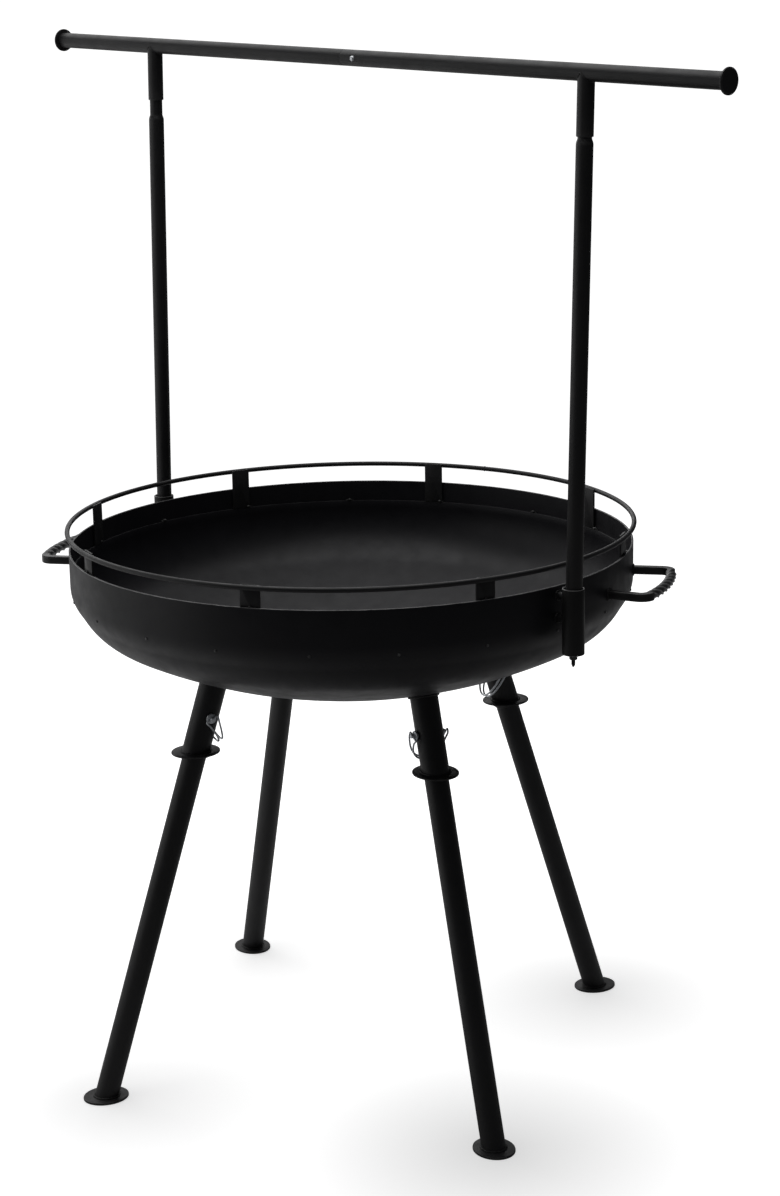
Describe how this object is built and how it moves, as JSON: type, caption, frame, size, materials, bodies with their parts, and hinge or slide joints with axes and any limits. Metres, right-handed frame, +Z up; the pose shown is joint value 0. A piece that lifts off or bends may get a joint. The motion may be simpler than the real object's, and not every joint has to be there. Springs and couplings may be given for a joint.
{
  "type": "open-fire bowl with overhead crossbar",
  "caption": "Round dished fire bowl on splayed tube legs, with a rail ring, two handles and a crossbar on two posts over the fire.",
  "frame": {"origin": "on the floor, under the middle of the crossbar; the bowl's own axis is 18 mm towards -X of it", "axes": "+Z up, +X along the crossbar towards its half with the button's hole, +Y across it"},
  "size_m": [1.492, 0.9662, 1.6832],
  "materials": {
    "bowl_coat": "satin black high-heat powder coat on formed sheet steel",
    "frame_coat": "fine-textured satin black powder coat on steel tube and rod",
    "zinc": "bright zinc plating",
    "spring_steel": "plain spring steel strip"
  },
  "bodies": {
    "frame": {"bowl_band": "bowl_coat", "bowl_dish": "bowl_coat", "rail_ring": "frame_coat", "rail_tab_1": "frame_coat", "rail_tab_2": "frame_coat", "rail_tab_3": "frame_coat", "rail_tab_4": "frame_coat", "rail_tab_5": "frame_coat", "rail_tab_6": "frame_coat", "rail_tab_7": "frame_coat", "rail_tab_8": "frame_coat", "handle_right": "frame_coat", "handle_left": "frame_coat", "foot_plate_1": "frame_coat", "leg_tube_1": "frame_coat", "leg_sleeve_1": "frame_coat", "leg_collar_1": "frame_coat", "foot_plate_2": "frame_coat", "leg_tube_2": "frame_coat", "leg_sleeve_2": "frame_coat", "leg_collar_2": "frame_coat", "foot_plate_3": "frame_coat", "leg_tube_3": "frame_coat", "leg_sleeve_3": "frame_coat", "leg_collar_3": "frame_coat", "foot_plate_4": "frame_coat", "leg_tube_4": "frame_coat", "leg_sleeve_4": "frame_coat", "leg_collar_4": "frame_coat", "post_socket_near": "frame_coat", "socket_plug_near": "frame_coat", "socket_stud_near": "frame_coat", "socket_nut_near": "frame_coat", "socket_spacer_1_near": "frame_coat", "socket_spacer_2_near": "frame_coat", "post_near": "frame_coat", "post_socket_far": "frame_coat", "socket_plug_far": "frame_coat", "socket_stud_far": "frame_coat", "socket_nut_far": "frame_coat", "socket_spacer_1_far": "frame_coat", "socket_spacer_2_far": "frame_coat", "post_far": "frame_coat"},
    "crossbar": {"crossbar_near_half": "frame_coat", "crossbar_far_half": "frame_coat", "crossbar_stub_near": "frame_coat", "crossbar_stub_far": "frame_coat", "end_disc_near": "frame_coat", "end_disc_far": "frame_coat", "button_spring": "spring_steel"},
    "button": {"snap_button": "zinc"},
    "pin_1": {"leg_pin_1": "zinc"},
    "bail_1": {"pin_bail_1": "zinc"},
    "pin_2": {"leg_pin_2": "zinc"},
    "bail_2": {"pin_bail_2": "zinc"},
    "pin_3": {"leg_pin_3": "zinc"},
    "bail_3": {"pin_bail_3": "zinc"},
    "pin_4": {"leg_pin_4": "zinc"},
    "bail_4": {"pin_bail_4": "zinc"}
  },
  "joints": [
    {"name": "crossbar_lift", "type": "slide", "parent": "frame", "child": "crossbar", "axis": [0.0227, 0.0061, 0.9997], "range_m": [0, 0.08]},
    {"name": "snap_button_press", "type": "slide", "parent": "crossbar", "child": "button", "axis": [0, 1, -0.0061], "range_m": [0, 0.003], "stiffness_N_per_m": 400, "springref_m": -0.002},
    {"name": "pin_swing_1", "type": "hinge", "parent": "frame", "child": "pin_1", "pos_m": [0.23727, -0.07722, 0.623], "axis": [0.289, 0.9573, 0], "range_deg": [0, 85]},
    {"name": "bail_open_1", "type": "hinge", "parent": "pin_1", "child": "bail_1", "pos_m": [0.22889, -0.10498, 0.623], "axis": [-0.8582, 0.2591, 0.4431], "range_deg": [0, 100]},
    {"name": "pin_swing_2", "type": "hinge", "parent": "frame", "child": "pin_2", "pos_m": [0.05872, 0.25577, 0.623], "axis": [-0.9573, 0.289, 0], "range_deg": [0, 85]},
    {"name": "bail_open_2", "type": "hinge", "parent": "pin_2", "child": "bail_2", "pos_m": [0.03096, 0.26415, 0.623], "axis": [0.2591, 0.8582, -0.4431], "range_deg": [0, 100]},
    {"name": "pin_swing_3", "type": "hinge", "parent": "frame", "child": "pin_3", "pos_m": [-0.27427, 0.07722, 0.623], "axis": [-0.289, -0.9573, 0], "range_deg": [0, 85]},
    {"name": "bail_open_3", "type": "hinge", "parent": "pin_3", "child": "bail_3", "pos_m": [-0.26589, 0.10498, 0.623], "axis": [0.8582, -0.2591, 0.4431], "range_deg": [0, 100]},
    {"name": "pin_swing_4", "type": "hinge", "parent": "frame", "child": "pin_4", "pos_m": [-0.09572, -0.25577, 0.623], "axis": [0.9573, -0.289, 0], "range_deg": [0, 85]},
    {"name": "bail_open_4", "type": "hinge", "parent": "pin_4", "child": "bail_4", "pos_m": [-0.06796, -0.26415, 0.623], "axis": [-0.2591, -0.8582, -0.4431], "range_deg": [0, 100]}
  ]
}
